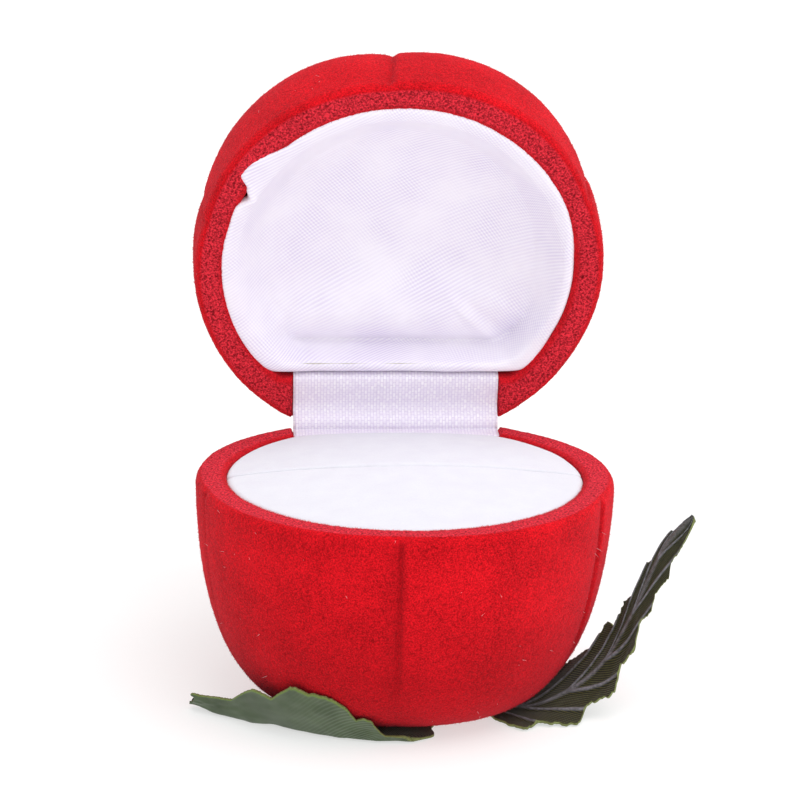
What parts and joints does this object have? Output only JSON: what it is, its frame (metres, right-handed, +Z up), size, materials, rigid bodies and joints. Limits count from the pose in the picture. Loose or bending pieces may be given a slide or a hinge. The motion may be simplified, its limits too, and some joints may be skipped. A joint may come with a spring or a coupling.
{
  "type": "ring gift box",
  "caption": "Rosebud-shaped ring box with a flocked cup and hinged dome lid, slotted foam ring pad, satin-lined lid and fabric leaves under the foot.",
  "frame": {"origin": "on the table under the axis of the cup, in the middle of the foot's glue pad", "axes": "+Z up, front of the box towards -Y, hinge at the back along X"},
  "size_m": [0.0494, 0.0538, 0.059],
  "materials": {
    "red_flock": "short red velvet flock on moulded plastic",
    "steel": "nickel-plated stamped steel",
    "satin": "white satin weave with a soft sheen",
    "pad_foam": "white velvet-faced foam",
    "card": "plain paperboard",
    "leaf_fabric": "stiffened woven fabric, painted green on one face",
    "glue": "hardened hot-melt glue"
  },
  "bodies": {
    "base": {"base_shell": "red_flock", "hinge_base_leaf": "steel", "hinge_pin": "steel", "hinge_spring": "steel", "ribbon_lower": "satin", "pad_front": "pad_foam", "pad_rear": "pad_foam", "pad_card": "card", "pad_riser": "card", "leaf_left": "leaf_fabric", "leaf_right": "leaf_fabric", "leaf_glue": "glue"},
    "lid": {"lid_shell": "red_flock", "hinge_lid_leaf": "steel", "ribbon_upper": "satin", "lining_card": "card", "lining_wadding": "pad_foam", "lining_satin": "satin"}
  },
  "joints": [
    {"name": "lid_hinge", "type": "hinge", "parent": "base", "child": "lid", "pos_m": [0, 0.0174, 0.0219], "axis": [-1, 0, 0], "range_deg": [-75, 0]}
  ]
}
